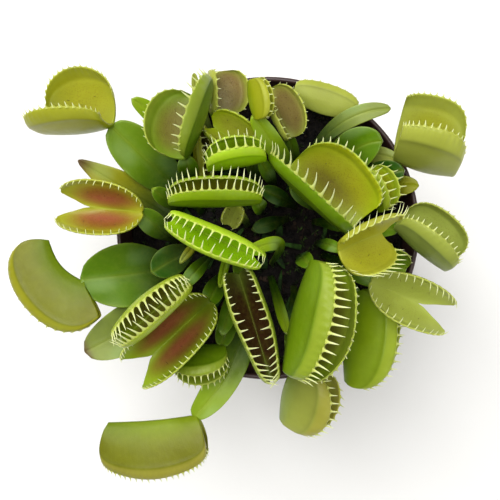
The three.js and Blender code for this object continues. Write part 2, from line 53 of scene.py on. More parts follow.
# Pot and peat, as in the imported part
POT_HEIGHT = 80
POT_RIM_RADIUS = 45.5
POT_RIM_BAND = 9
POT_SHOULDER = POT_HEIGHT - POT_RIM_BAND
POT_SHOULDER_RADIUS = 43.7
POT_BASE_RADIUS = 31
POT_WALL = 1.3
POT_FLOOR = 1.8
DRAIN_HOLES = 5
DRAIN_RADIUS = 3.6
DRAIN_RING_RADIUS = 20
POT_HEEL = 1.4
POT_SIDES = 144
FIT_GAP = 0.4
PEAT_EDGE_HEIGHT = 69
PEAT_MOUND = 2.5
PEAT_LUMP = 0.7
ROUGHNESS = [(0.55, 0.6, 3), (1.4, 0.45, 8), (3.1, 0.22, 12)]
SURFACE_RINGS = 84
SURFACE_SIDES = 200
CRUMBS = 900
FIBRES = 170
MOSS_TUFTS = 420
SEEDLINGS = 64

# Stalk and blade
STUB_BOTTOM = 65.4
STUB_TOP = 72
STALK_HALF_WIDTH = 1.05
NECK_HALF_WIDTH = 0.95
TIP_HALF_WIDTH = 0.3
NECK_INSET = 0.9
NECK_DROP = 0.3
STALK_RISE = 0.55
STALK_LEAN = 0.08
STALK_RUN = 0.45
STALK_ARRIVAL = 0.6
BLADE_EDGE = 0.6
BLADE_RIB = 1.5
BLADE_RIB_WIDTH = 1.1
BLADE_FOLD = 0.3
BLADE_WIDEST_AT = 0.74
BLADE_WAVE = 0.035
RIPPLE_LENGTH = 9
GROOVE_DEPTH = 0.16
GROOVE_WIDTH = 0.35
STALK_STEPS = 36
STALK_CROWDING = 1.15
STALK_ACROSS = np.array([0, 0.04, 0.09, 0.15, 0.23, 0.34, 0.48, 0.63, 0.79, 0.91, 0.97, 1])

# Trap
RIB_HALF_WIDTH = 0.55
RIB_THICKNESS = 1.5
MARGIN_THICKNESS = 0.75
LOBE_CAMBER = 0.07
LOBE_NEAR = 0.3
LOBE_FAR = 0.22
LOBE_EAR = 0.05
MARGIN_BEND = 30
MARGIN_BEND_FROM = 0.78
LOBE_ACROSS = np.array([0, 0.03, 0.07, 0.12, 0.18, 0.26, 0.34, 0.43, 0.52, 0.6,
                        0.67, 0.72, 0.76, 0.79, 0.82, 0.86, 0.91, 0.96, 1])
LOBE_STEPS = 24
MIDDLING_WIDTH = 16
COLUMNS_PER_TOOTH = 5
CREASE_AT = 0.79
CREASE_HEIGHT = 0.24
WEB_HEIGHT = 0.55
FLUTE_DEPTH = 0.13
FRINGE_START = 0.02
FRINGE_RUN = 0.96
MARGIN_RATIO = 1.12
FEWEST_TEETH = 5
TOOTH_SPACING = 1.75
TOOTH_FLARE = 1.35
TOOTH_INTURN = 50
TOOTH_FAN = 0.7
TOOTH_WIDTH = 0.37
TOOTH_DEPTH = 0.24
TOOTH_WEB = 1.3
TOOTH_TAPER = 0.68
TOOTH_RINGS = 8
TOOTH_SIDES = 6
VEIN_SPACING = 1.15
HAIR_LENGTH = 1.7
HAIR_RADIUS = 0.075
HAIRS = [(0.36, 0.52), (0.52, 0.4), (0.66, 0.52)]


# Colours
def colour(code):
    """A linear colour from an sRGB code."""
    channels = [int(code[i:i + 2], 16) / 255 for i in (0, 2, 4)]
    return np.array([c / 12.92 if c <= 0.04045 else ((c + 0.055) / 1.055) ** 2.4 for c in channels])


TISSUE_CODES = {
    "vivid": "9ccb08", "lime": "7f9c04", "yellow": "9c9a1e", "green": "527606", "deep": "24500c",
    "olive": "8f900a", "pale": "979f42", "bronze": "6a5a26", "khaki": "80781a", "rust": "6c3c20",
    "coral": "864a22", "maroon": "35190f", "mauve": "7c643e", "straw": "a09a3c", "rose": "98503a",
    "bright": "d6de22", "fresh": "668804", "moss": "6c6e08", "sage": "7c8a3e", "mist": "a4b052",
}
TISSUE = {name: colour(code) for name, code in TISSUE_CODES.items()}
TOOTH_COLOUR = colour("d0d868")
TOOTH_TIP_COLOUR = colour("e8eeb4")
BAND_COLOUR = colour("b2b840")
RIB_COLOUR = colour("94a030")
WITHERED_COLOUR = colour("5a4030")
HAIR_COLOUR = colour("4a1f18")
PEAT_COLOUR = colour("1b1511")
CRUMB_COLOURS = [colour(code) for code in ("271d17", "17110e", "382a20", "110d0b")]
MOSS_COLOURS = [colour(code) for code in ("24330e", "33481a", "1b260c", "3c5220")]
# Painted sheen, in pale patches over the blades
SHEEN_COLOUR = colour("9dbb78")
# Painted shade, darker and greener low in the clump
DEPTH_SHADE_COLOUR = np.array([0.11, 0.2, 0.17])
# Painted shade on the stalks, darker towards the middle of the clump
INNER_SHADE_COLOUR = np.array([0.2, 0.34, 0.3])
DEPTH_TOP_MIDDLE = 106
DEPTH_TOP_EDGE = 84
CLUMP_MIDDLE = 18
CLUMP_EDGE = 50
STALK_COLOUR = "green"

# Leaves
# root, neck, blade, heading, arrive, run, widest, tint and the trap's sizes are those of the packed
# part. withered is the share of the tip that is dry, and pointed how much the blade narrows towards
# it. colour is the stalk's, where it isn't green. outside and inside are the lobes', and where there
# is no inside, both faces have the outside's. band is their margin's, and rim the inner face's there.
# flush is how strong the inside colour is and how far it spreads, streak a colour beside the rib, and
# shaded how dark the mouth is near the neck. spacing is that of the teeth, stout how thick they are,
# lie how much further each lobe's teeth lie over the mouth, rake how far they lean along the rib, and
# grow their size at the two ends.
LEAVES = [
    dict(root=(-20, 5), neck=(-45.6, 30.2, 88), blade=14, tint="olive", colour="fresh", trap=dict(
        turn=184, tilt=-22, length=18.5, width=18.5, left=13, right=84, cup=24, near=0.5, far=0.4,
        tip=(0.26, 0.16), teeth=(2, 1.6), outside="olive", inside="yellow", spacing=1.2)),
    dict(root=(-22.8, 14.2), neck=(-24, 19.2, 100), blade=6, tint="green", trap=dict(
        turn=71, tilt=-16, length=18, width=15.5, left=-82, right=-10, cup=26, near=0.35, far=0.35,
        tip=(0.05, 0.3), teeth=(1.2, 3.4), outside="green", inside="bronze", flush=(0.85, 0.7))),
    dict(root=(-15.5, 9.5), neck=(-19.9, 14.9, 83.2), blade=3.5, tint="olive", colour="olive", trap=dict(
        turn=97, tilt=5, length=15, width=8, left=12, right=32, cup=26, teeth=(2.6, 2), outside="olive",
        inside="bronze")),
    dict(root=(-8, 20), neck=(-16, 34, 86.2), blade=4, tint="pale", trap=dict(
        turn=92, tilt=5, length=11.5, width=11, left=6, right=80, cup=24, near=0.5, far=0.5, teeth=(2, 1.4),
        outside="pale", inside="mauve", flush=(0.95, 1.0))),
    dict(root=(-3.5, 13), neck=(-5, 22.4, 91.8), blade=4, tint="lime", trap=dict(
        turn=150, tilt=0, length=12.2, width=9.5, left=-22, right=44, cup=22, near=0.3, far=0.35, tip=0.2,
        teeth=(2, 2), outside="lime", inside="straw", flush=(0.6, 0.8), rim="bright")),
    dict(root=(2, 12), neck=(-1.5, 18.9, 102.2), blade=4, tint="lime", trap=dict(
        turn=190, tilt=0, length=15.4, width=11, left=20, right=42, cup=26, near=0.3, far=0.25,
        teeth=(3.8, 3), outside="vivid", inside="lime", lie=(0, -60))),
    dict(root=(-2, 5), neck=(-3.4, 7.2, 107), blade=4.5, tint="green", trap=dict(
        turn=181, tilt=3, length=23.5, width=12, left=12, right=32, cup=30, near=0.25, far=0.2,
        teeth=(3.4, 4), outside="fresh", inside="khaki", band="lime", lie=(0, -80), spacing=1.5)),
    dict(root=(1.5, -10.5), neck=(-5.5, -7.6, 109), blade=4, heading=205, arrive=8, run=1, tint="lime",
         colour="lime", trap=dict(
        turn=156, tilt=-3, length=22.5, width=11.5, left=-22, right=10, cup=22, ear=0.2, near=0.3, far=0.3,
        tip=0.08, teeth=(3.6, 3.6), outside="vivid", lie=(25, 25), spacing=1.55)),
    dict(root=(14, 2), neck=(23.8, 0.2, 93), blade=4.5, arrive=70, tint="lime", trap=dict(
        turn=138, tilt=5, length=24.5, width=18.3, left=-4, right=62, cup=28, near=0.55, far=0.35,
        tip=(0.3, 0.02), teeth=(6.6, 2.8), outside="green", inside="yellow", flush=(0.9, 0.85),
        streak="bronze", band="fresh", rim="bright", rake=0.35, lie=(0, -25), stout=1.1)),
    dict(root=(15, -4.5), neck=(18.7, -6.8, 112.4), blade=3.5, tint="lime", trap=dict(
        turn=22, tilt=-26, length=14.5, width=11.3, left=-18, right=62, cup=24, near=0.5, far=0.35,
        tip=(0.35, 0.05), teeth=(4.8, 4.2), outside="yellow", rake=0.5, lie=(-75, 0), spacing=1.4)),
    dict(root=(9.3, -8.6), neck=(11.8, -10.2, 106), blade=5, tint="lime", trap=dict(
        turn=256, tilt=-4, length=30, width=19.5, left=-56, right=-24, cup=28, near=0.34, far=0.34,
        teeth=(2.6, 4.6), outside="fresh", inside="bronze", stout=1.15, spacing=1.65)),
    dict(root=(-8, -8), neck=(-8.4, -13.4, 104.5), blade=4.5, tint="green", trap=dict(
        turn=286.5, tilt=-3, length=30, width=12.5, left=(-22, -34), right=(38, 16), cup=26, near=0.4,
        far=0.12, taper=0.5, teeth=(4, 4), outside="green", inside="maroon", flush=(0.97, 1.05),
        grow=(0.3, 1.7), shaded=0.5, lie=(30, 30), stout=1.1)),
    dict(root=(-17, -8), neck=(-23.1, -15.7, 107), blade=4.5, tint="green", trap=dict(
        turn=221, tilt=-4, length=23.5, width=11.5, left=-13, right=22, cup=28, near=0.2, far=0.3,
        teeth=(6, 6), outside="lime", inside="bronze", lie=(15, 15), spacing=1.5, stout=1.2)),
    dict(root=(-13, -13), neck=(-17.2, -21.7, 94), blade=6, tint="lime", trap=dict(
        turn=223, tilt=-12, length=23, width=13, left=-38, right=40, cup=16, near=0.12, far=0.6,
        tip=(0.3, 0.26), teeth=(2, 2.6), outside="lime", inside="rust", flush=(0.9, 0.66), streak="rose",
        lie=(70, 70), shaded=0.6, spacing=1.25)),
    dict(root=(-9, -19), neck=(-13, -35, 86.6), blade=6, tint="green", trap=dict(
        turn=187, tilt=-2, length=15, width=10.5, left=-86, right=-40, cup=18, teeth=(2, 2.4),
        outside="green", inside="olive", spacing=1.3)),
    dict(root=(-4.5, -21.5), neck=(-21.3, -56.3, 83), blade=10, heading=220, arrive=-8, run=0.42,
         widest=0.6, tint="olive", colour="lime", trap=dict(
        turn=186, tilt=-8, length=27, width=17.5, left=-104, right=-84, cup=18, ear=0.08, near=0.5, far=0.5,
        tip=0.12, camber=-0.02, teeth=(2, 2.2), outside="moss", band="straw", spacing=1.15)),
    dict(root=(8, -18), neck=(8, -40, 91), blade=6, tint="olive", trap=dict(
        turn=256, tilt=-20, length=18, width=16, left=-86, right=-52, cup=24, near=0.4, far=0.4,
        teeth=(2, 3), outside="pale", inside="khaki", band="straw")),
    dict(root=(-24, -11), neck=(-54.8, -16.2, 87.5), blade=19, heading=184, run=0.6,
         tint="olive", trap=dict(
        turn=131, tilt=-6, length=16, width=17.8, left=-106, right=-88, cup=16, ear=0.7, near=0.16, far=0.4,
        tip=0.3, camber=-0.13, teeth=(1.2, 1.2), outside="moss", band="yellow", spacing=1.15)),
    dict(root=(-28, -4), neck=(-36.5, 4.3, 96), blade=7, tint="olive", trap=dict(
        turn=174, tilt=-22, length=16.5, width=10.5, left=-50, right=46, cup=14, near=0.04, far=0.45,
        tip=(0.55, 0.5), teeth=(2.2, 2.2), outside="olive", inside="coral", flush=(0.9, 0.7), streak="rose",
        lie=(70, 70), spacing=1.25)),
    dict(root=(14.5, 17), neck=(37.4, 20.2, 85.3), blade=5, heading=-35, tint="pale",
         colour="pale", trap=dict(
        turn=345, tilt=0, length=17.6, width=22.2, left=-80, right=-24, cup=24, ear=0.1, near=0.85,
        far=0.42, tip=0.02, teeth=(1.6, 2), outside="pale", inside="olive", spacing=1.3)),
    dict(root=(24, 0), neck=(36.8, 0.3, 92), blade=5, tint="olive", trap=dict(
        turn=320, tilt=-5, length=18.5, width=15, left=-60, right=-18, cup=30, near=0.4, far=0.45,
        teeth=(1.6, 2), outside="sage", inside="mist", spacing=1.35)),
    dict(root=(17, -8), neck=(29.5, -15.8, 96), blade=5, tint="green", trap=dict(
        turn=336, tilt=-20, length=16, width=10.5, left=-40, right=46, cup=14, near=0.04, far=0.55,
        tip=(0.55, 0.6), teeth=(3, 2.6), outside="mist", inside="pale", flush=(0.5, 0.8), lie=(70, 70),
        spacing=1.2)),
    dict(root=(21, 8.5), neck=(27.8, 16.2, 90), blade=4, arrive=45, tint="green", trap=dict(
        turn=292, tilt=-10, length=12, width=8.5, left=-75, right=-25, cup=22, teeth=(3, 3), outside="lime",
        inside="olive")),
    dict(root=(21, -5), neck=(32.5, -9.5, 86), blade=3.5, tint="deep", trap=dict(
        turn=340, tilt=-5, length=8.5, width=7, left=-40, right=40, cup=18, teeth=(2, 2), outside="green")),
    dict(root=(9, 17), neck=(6.2, 26.2, 90), blade=4, tint="pale", trap=dict(
        turn=116, tilt=0, length=14.5, width=9.5, left=-10, right=50, cup=22, teeth=(2.4, 2.4),
        outside="pale", inside="mauve", flush=(0.9, 0.9))),
    dict(root=(13, -12), neck=(27, -18.9, 86), blade=5, tint="green", trap=dict(
        turn=262, tilt=-5, length=27, width=14, left=-88, right=-64, cup=22, teeth=(1.4, 2.8),
        outside="lime", inside="bronze")),
    dict(root=(10.5, 11), neck=(-4, 30.5, 101), blade=6, tint="lime", colour="lime", trap=dict(
        turn=100, tilt=5, length=10.5, width=6.5, left=52, right=80, cup=24, near=0.3, far=0.45,
        teeth=(1.2, 1.2), outside="olive", inside="lime")),
    dict(root=(-6, 1), neck=(-8.8, 6, 98), blade=2.4, tint="pale", colour="pale", trap=dict(
        turn=245, tilt=-10, length=6, width=5, left=-30, right=30, cup=20, teeth=(2.2, 2.2),
        outside="pale")),
    dict(root=(23, 12.5), neck=(39.7, 16.8, 88.3), blade=8.5, heading=10, run=0.5, tint="deep",
         colour="deep"),
    dict(root=(-24, 0), neck=(-56, 19.8, 86.5), blade=9, withered=0.14, pointed=0.6, tint="olive",
         colour="yellow"),
    dict(root=(-18.5, 17.5), neck=(-39.5, 37, 93), blade=6, heading=150, tint="lime", colour="lime"),
    dict(root=(-22, -14), neck=(-54.3, -36.6, 85.3), blade=14, heading=203, run=0.5, withered=0.05,
         tint="pale", colour="sage"),
    dict(root=(-26.3, 5.9), neck=(-32.9, 10.6, 98), blade=5, tint="deep"),
    dict(root=(17, 22), neck=(23.6, 32.5, 85.5), blade=4, arrive=20, tint="pale", colour="pale", trap=dict(
        turn=162, tilt=3, length=17, width=7.6, left=82, right=98, cup=14, ear=0.1, near=0.5, far=0.5,
        teeth=(0.9, 0.9), outside="pale")),
    dict(root=(17, 12), neck=(33, 25, 91), blade=12, heading=-2, run=0.55, tint="green"),
    dict(root=(25, 6.5), neck=(44.5, 12.4, 84.5), blade=6.5, heading=-10, run=0.5, tint="olive",
         colour="olive"),
    dict(root=(-13.5, 18.5), neck=(-22, 45.8, 84), blade=3, heading=95, run=0.4, tint="pale",
         colour="pale"),
    dict(root=(1, -15), neck=(5.2, -30.3, 97), blade=3.2, tint="lime", colour="lime"),
    dict(root=(-21, -5), neck=(-33.8, -13, 92), blade=9, tint="deep", colour="deep"),
    dict(root=(6, 3), neck=(-4.5, -0.5, 86), blade=4.5, tint="pale", colour="deep"),
    dict(root=(8.5, 6.5), neck=(-2, 11, 94), blade=5, tint="deep", colour="deep"),
    dict(root=(17.5, 5), neck=(6.5, 11.5, 92), blade=5.5, tint="green"),
    dict(root=(-19, -1.5), neck=(-25.2, -10, 96), blade=2.6, tint="lime", colour="yellow"),
    dict(root=(-11, -4), neck=(-13.9, -16.8, 98), blade=2.6, tint="lime", colour="lime"),
    dict(root=(-8, -13), neck=(-13.5, -31, 92), blade=5, tint="green"),
    dict(root=(11.5, 21.5), neck=(35.4, 34.4, 91.5), blade=5.5, heading=0, arrive=0, run=0.55, tint="pale",
         colour="sage"),
]


def mix(a, b, t):
    return a + (b - a) * t


def ease(x, low, high):
    t = np.clip((np.asarray(x, float) - low) / (high - low), 0, 1)
    return t * t * (3 - 2 * t)


def unit(v):
    return v / np.linalg.norm(v, axis=-1, keepdims=True)


def angles(count):
    """Evenly spaced angles round a full turn."""
    return np.linspace(0, TURN, count, endpoint=False)


def new_mesh(name, points, faces):
    mesh = bpy.data.meshes.new(name)
    mesh.from_pydata(points * MM, [], faces)
    return mesh


def new_object(name, data):
    thing = bpy.data.objects.new(name, data)
    bpy.context.scene.collection.objects.link(thing)
    return thing


def with_outward_faces(mesh, merge=0.0):
    """Turns the faces of every closed shell outward, and joins points closer than merge."""
    work = bmesh.new()
    work.from_mesh(mesh)
    if merge:
        bmesh.ops.remove_doubles(work, verts=work.verts, dist=merge)
        bmesh.ops.dissolve_degenerate(work, edges=work.edges, dist=merge)
    bmesh.ops.recalc_face_normals(work, faces=work.faces)
    work.to_mesh(mesh)
    work.free()
    mesh.update()


class Skin:
    """Grids of points with, for each point, a colour, a share of gland and a place along the veins."""

    def __init__(self):
        self.points = []
        self.tones = []
        self.glands = []
        self.veins = []
        self.faces = []
        self.count = 0

    def add(self, points, tone, gland=0.0, vein=0.0):
        """points has the shape (rows, columns, 3). Returns the points' numbers."""
        rows, columns = points.shape[:2]
        numbers = self.count + np.arange(rows * columns).reshape(rows, columns)
        self.points.append(points.reshape(-1, 3))
        self.tones.append(np.broadcast_to(tone, (rows, columns, 3)).reshape(-1, 3))
        self.glands.append(np.broadcast_to(gland, (rows, columns)).ravel())
        self.veins.append(np.broadcast_to(vein, (rows, columns)).ravel())
        self.count += rows * columns
        return numbers

    def sheet(self, numbers, flip=False):
        """Faces between the rows and columns of a grid."""
        a, b = numbers[:-1, :-1], numbers[:-1, 1:]
        c, d = numbers[1:, 1:], numbers[1:, :-1]
        quads = np.stack([a, d, c, b] if flip else [a, b, c, d], axis=-1)
        self.faces += quads.reshape(-1, 4).tolist()

    def tube(self, numbers, flip=False):
        """Faces round a grid whose rows are rings."""
        self.sheet(np.concatenate([numbers, numbers[:, :1]], axis=1), flip)

    def cap(self, ring):
        self.faces.append(ring.tolist())

    def mesh(self, name):
        mesh = new_mesh(name, np.concatenate(self.points), self.faces)
        tones = np.ones((self.count, 4), np.float32)
        tones[:, :3] = np.clip(np.concatenate(self.tones), 0, 1)
        mesh.attributes.new("tone", "FLOAT_COLOR", "POINT").data.foreach_set("color", tones.ravel())
        for key, values in (("gland", self.glands), ("vein", self.veins)):
            data = np.concatenate(values).astype(np.float32)
            mesh.attributes.new(key, "FLOAT", "POINT").data.foreach_set("value", data)
        mesh.shade_smooth()
        with_outward_faces(mesh)
        return mesh


# Stalks and blades
def bezier(ends, share):
    a, b, c, d = ends
    t = share[:, None]
    return a * (1 - t) ** 3 + 3 * b * t * (1 - t) ** 2 + 3 * c * t * t * (1 - t) + d * t ** 3


def bezier_way(ends, share):
    a, b, c, d = ends
    t = share[:, None]
    return unit((b - a) * (1 - t) ** 2 + 2 * (c - b) * t * (1 - t) + (d - c) * t * t + 1e-9)


def stalk_ends(leaf):
    """The four points of the stalk's curve, and its way out in plan."""
    start = np.array([*leaf["root"], STUB_TOP], float)
    end = np.array(leaf["neck"], float)
    if "trap" in leaf:
        way = trap_ways(leaf["trap"])
        end = end + way["along"] * NECK_INSET - way["mouth"] * NECK_DROP
    across = (end - start) * (1, 1, 0)
    lift = end[2] - start[2]
    reach = np.linalg.norm(across)
    outward = unit(across)
    first = start + UP * STALK_RISE * lift + outward * STALK_LEAN * reach
    arrive = STALK_ARRIVAL * math.atan2(lift, reach)
    if "arrive" in leaf:
        arrive = math.radians(leaf["arrive"])
    turn = math.atan2(outward[1], outward[0])
    if "heading" in leaf:
        turn = math.radians(leaf["heading"])
    heading = unit(np.array([math.cos(turn), math.sin(turn), math.tan(arrive)]))
    run = leaf.get("run", STALK_RUN) * math.hypot(reach, lift * 0.4)
    return (start, first, end - heading * run, end), outward


def blade_half_width(leaf, share):
    widest = leaf["blade"] / 2
    place = leaf.get("widest", BLADE_WIDEST_AT)
    last = NECK_HALF_WIDTH if "trap" in leaf else TIP_HALF_WIDTH
    past = np.clip((share - place) / (1 - place), 0, 1)
    before = mix(STALK_HALF_WIDTH, widest, ease(share, 0.12, place))
    after = np.sqrt(1 - past * past) * (1 - leaf.get("pointed", 0) * past)
    return np.where(share < place, before, mix(last, widest, after))


def depth_shade(points):
    """Painted shade: tissue low down inside the clump is darker, and greener, where the leaves above shade
    it.
    """
    radius = np.hypot(points[..., :1], points[..., 1:2])
    top = mix(DEPTH_TOP_MIDDLE, DEPTH_TOP_EDGE, ease(radius, CLUMP_MIDDLE, CLUMP_EDGE))
    return mix(DEPTH_SHADE_COLOUR, 1, ease(points[..., 2:], STUB_TOP, top))


def add_stalk(skin, leaf, draw):
    ends, outward = stalk_ends(leaf)
    share = 1 - (1 - np.linspace(0, 1, STALK_STEPS)) ** STALK_CROWDING
    centre = bezier(ends, share)
    way = bezier_way(ends, share)
    length = np.linalg.norm(np.diff(centre, axis=0), axis=1).sum()
    flat = unit(way * (1, 1, 0) + outward * 0.25)
    side = np.cross(flat, UP)
    side = unit(side - way * (side * way).sum(1, keepdims=True))
    top = np.cross(side, way)

    half = blade_half_width(leaf, share)[:, None]
    spread = ease(share, 0.1, 0.5)[:, None]
    raised = BLADE_FOLD * spread * (half - 0.8)
    edge = mix(1, BLADE_EDGE, spread)
    u = np.concatenate([STALK_ACROSS[::-1], -STALK_ACROSS[1:]])[None, :]
    x = u * half
    rounding = np.sqrt(np.clip(1.02 - np.abs(u) ** 5, 0, 1))
    thickness = edge + (BLADE_RIB - edge) * np.exp(-(x / BLADE_RIB_WIDTH) ** 2)
    fold = raised * np.abs(u) ** 1.3
    phase = draw() * WAVE
    ripples = max(3, length / RIPPLE_LENGTH)
    ripple = np.sin(share[:, None] * ripples * WAVE + phase + np.where(u > 0, 1.7, 0)) * u * u
    lift = fold + ripple * spread * half * BLADE_WAVE
    groove = GROOVE_DEPTH * np.exp(-(x / GROOVE_WIDTH) ** 2) * spread
    upper = lift + thickness * mix(0.3, 0.5, np.abs(u)) * rounding - groove
    lower = lift - thickness * mix(0.7, 0.5, np.abs(u)) * rounding

    def rows(up):
        return centre[:, None] + side[:, None] * x[..., None] + top[:, None] * up[..., None]

    base = TISSUE[leaf.get("colour", STALK_COLOUR)]
    pale = mix(base, RIB_COLOUR, 0.5)
    # The midrib is paler, partly its own paler colour and partly a painted highlight, and the thin edges
    # are lighter with painted light shining through them
    rib_and_edge_highlight = np.exp(-(x / 0.6) ** 2) * 0.45 * spread + ease(np.abs(u), 0.88, 1) * 0.5 * spread
    # Painted sheen: pale soft patches over the blade, where it would catch the light
    painted_sheen = np.sin(share[:, None] * length * 0.3 + phase) * np.cos(x * 0.45 - 2 * phase)
    painted_sheen = ease(painted_sheen, 0.1, 1) * 0.32 * spread
    tone = mix(mix(base, pale, rib_and_edge_highlight[..., None]), SHEEN_COLOUR, painted_sheen[..., None])
    # Painted shade, darker and greener low in the clump
    tone = tone * depth_shade(centre)[:, None]
    # Painted shade: each stalk darkens towards its foot, in the middle of the clump
    tone = tone * mix(INNER_SHADE_COLOUR, 1, ease(share, 0.35, 0.85)[:, None])[:, None]
    dry = ease(share, 1 - leaf.get("withered", 0) - 1e-6, 1)[:, None, None] * ("withered" in leaf)
    tone = mix(tone, WITHERED_COLOUR, dry)
    vein = share[:, None] * length + np.abs(x) * 0.9
    upper_numbers = skin.add(rows(upper), tone, 0, vein)
    lower_numbers = skin.add(rows(lower), mix(tone, RIB_COLOUR, 0.18), 0, vein)
    rings = np.concatenate([upper_numbers, lower_numbers[:, ::-1]], axis=1)
    foot = np.concatenate([rows(upper)[0], rows(lower)[0][::-1]])
    foot = foot * (1, 1, 0) + UP * STUB_BOTTOM
    foot_numbers = skin.add(foot[None], base * 0.3)
    skin.tube(np.concatenate([foot_numbers, rings]))
    skin.cap(foot_numbers[0][::-1])
    skin.cap(rings[-1])


# Traps
def trap_ways(trap):
    """The trap's own directions: along its rib, to its right, upright, and out of its mouth."""
    turn, tilt = math.radians(trap["turn"]), math.radians(trap["tilt"])
    along = np.array([math.cos(turn) * math.cos(tilt), math.sin(turn) * math.cos(tilt), math.sin(tilt)])
    right = unit(np.cross(along, UP))
    upright = np.cross(right, along)
    middle = math.radians((lean_at(trap["left"], 0.5) + lean_at(trap["right"], 0.5)) / 2)
    mouth = right * math.sin(middle) + upright * math.cos(middle)
    return dict(along=along, right=right, upright=upright, mouth=mouth, apart=np.cross(along, mouth))


def lean_at(value, share):
    """A lean at a share of the rib's length, for one lean or for one at each end."""
    near, far = value if isinstance(value, tuple) else (value, value)
    return mix(near, far, share)


def lobe_lean(trap, side, across, share):
    """The lean in rows by across and columns by share."""
    lean = lean_at(trap["right"] if side > 0 else trap["left"], share)
    curl = trap["cup"] * (1 - 2 * across) - MARGIN_BEND * ease(across, MARGIN_BEND_FROM, 1)
    return np.radians(lean + side * curl[:, None])


def lobe_reach(trap, side, across, share):
    """The lobe's cross-section, to the right and upright, for a lobe of width 1."""
    leans = [lobe_lean(trap, side, across * (i + 0.5) / LOBE_STEPS, share) for i in range(LOBE_STEPS)]
    width = across[:, None]
    return np.sin(leans).mean(0) * width, np.cos(leans).mean(0) * width


def lobe_points(trap, way, side, across, share):
    """Points half way through the lobe, in rows by across and columns by share."""
    swell = np.sin(math.pi * share) ** 0.8
    ends = mix(trap.get("near", LOBE_NEAR), trap.get("far", LOBE_FAR), share)
    height = trap["width"] * (1 - trap.get("taper", 0) * share) * mix(ends, 1, swell)
    ear = trap.get("ear", LOBE_EAR)
    tip = trap.get("tip", LOBE_EAR)
    if isinstance(tip, tuple):
        tip = tip[1 if side > 0 else 0]
    margin_along = mix(-ear, 1 + tip, 0.5 - 0.5 * np.cos(math.pi * share))
    bulge = (across * (2 - across))[:, None]
    along = trap["length"] * mix(share[None], margin_along[None], bulge)
    camber = trap.get("camber", LOBE_CAMBER)
    bow = camber * trap["length"] * np.sin(math.pi * share)[None] * (1 - across[:, None])
    right, upright = lobe_reach(trap, side, across, share)
    apart = side * RIB_HALF_WIDTH * np.minimum(1, 3 * across)
    return (np.array(way["neck"])
            + way["along"] * along[..., None]
            + way["apart"] * apart[:, None, None]
            + way["right"] * (right * height)[..., None]
            + way["upright"] * (upright * height)[..., None]
            - way["mouth"] * bow[..., None])


def lobe_inward(trap, way, side, across, share):
    """The way into the mouth, square to the lobe."""
    lean = lobe_lean(trap, side, across, share)[..., None]
    square = -side * np.cos(lean) * way["right"] + side * np.sin(lean) * way["upright"]
    return unit(mix(way["mouth"], square, ease(across, 0, 0.12)[:, None, None]))


def tooth_count(trap):
    count = round(trap["length"] * MARGIN_RATIO / trap.get("spacing", TOOTH_SPACING))
    return max(FEWEST_TEETH, count)


def tooth_share(trap, side, number):
    """Where on the margin a tooth stands. The two lobes' teeth alternate."""
    return FRINGE_START + FRINGE_RUN * (number + (0.3 if side > 0 else 0.7)) / tooth_count(trap)


def web(trap, side, share):
    """1 at a tooth's foot and 0 half way between two teeth."""
    place = (share - tooth_share(trap, side, 0)) / FRINGE_RUN * tooth_count(trap)
    return (0.5 + 0.5 * np.cos(TURN * place)) ** 1.6


def add_spike(skin, start, bend, tip, wide, thick, tones, rings, sides, power=0.9, flare=0.0):
    """A tapering curved spike. wide is one half axis of its base, and thick the other's length."""
    t = np.linspace(0, 1, rings)[:, None] ** 1.4
    centre = start * (1 - t) ** 2 + 2 * bend * t * (1 - t) + tip * t * t
    course = unit((bend - start) * (1 - t) + (tip - bend) * t)
    wide = wide - course * (course @ wide)[:, None]
    thick = unit(np.cross(wide, course)) * thick
    size = (1 - t) ** power * 0.92 + 0.08
    broad = size + flare * np.exp(-(t / 0.14) ** 2)
    angle = angles(sides)
    across = np.cos(angle)[None, :, None] * (wide * broad)[:, None]
    points = centre[:, None] + across + np.sin(angle)[None, :, None] * (thick * size)[:, None]
    tone = mix(tones[0], tones[1], ease(t, 0, 0.8))[:, None]
    numbers = skin.add(points, tone)
    skin.tube(numbers)
    skin.cap(numbers[0][::-1])
    skin.cap(numbers[-1])


def add_teeth(skin, trap, way, side, draw):
    lobe = 1 if side > 0 else 0
    full = trap["teeth"][lobe]
    lie = trap.get("lie", (0, 0))[lobe]
    near, far = trap.get("grow", (1, 1))
    stout = trap.get("stout", 1)
    edge = np.array([0.93, 0.985, 1.0])
    foot_tone = mix(TISSUE[trap["outside"]], TOOTH_COLOUR, 0.75)
    for number in range(tooth_count(trap)):
        share = tooth_share(trap, side, number)
        left, right = lean_at(trap["left"], share), lean_at(trap["right"], share)
        turned = TOOTH_FLARE * (right - left) / 2 - TOOTH_INTURN - lie
        lean = math.radians((left + right) / 2 + side * turned)
        aim = way["right"] * math.sin(lean) + way["upright"] * math.cos(lean)
        length = full * mix(0.6, 1, math.sin(math.pi * share)) * mix(0.85, 1.15, draw())
        length *= mix(near, far, share)
        about = np.array([share - 0.01, share, share + 0.01])
        rim = lobe_points(trap, way, side, edge, about)
        out = unit(rim[2, 1] - rim[0, 1])
        run = unit(rim[2, 2] - rim[2, 0])
        fan = TOOTH_FAN * (share - 0.5) + trap.get("rake", 0) + mix(-0.12, 0.12, draw())
        heading = unit(aim + way["along"] * fan)
        size = stout * min(1, 0.6 + trap["width"] / 40) * min(1.1, 0.6 + length / 8)
        start = rim[1, 1] + out * 0.25
        bend = start + out * length * mix(0.3, 0.42, draw())
        tip = start + (heading * 0.86 + out * 0.14) * length
        add_spike(skin, start, bend, tip, run * TOOTH_WIDTH * size, TOOTH_DEPTH * size,
                  (foot_tone, TOOTH_TIP_COLOUR), TOOTH_RINGS, TOOTH_SIDES, TOOTH_TAPER, TOOTH_WEB)


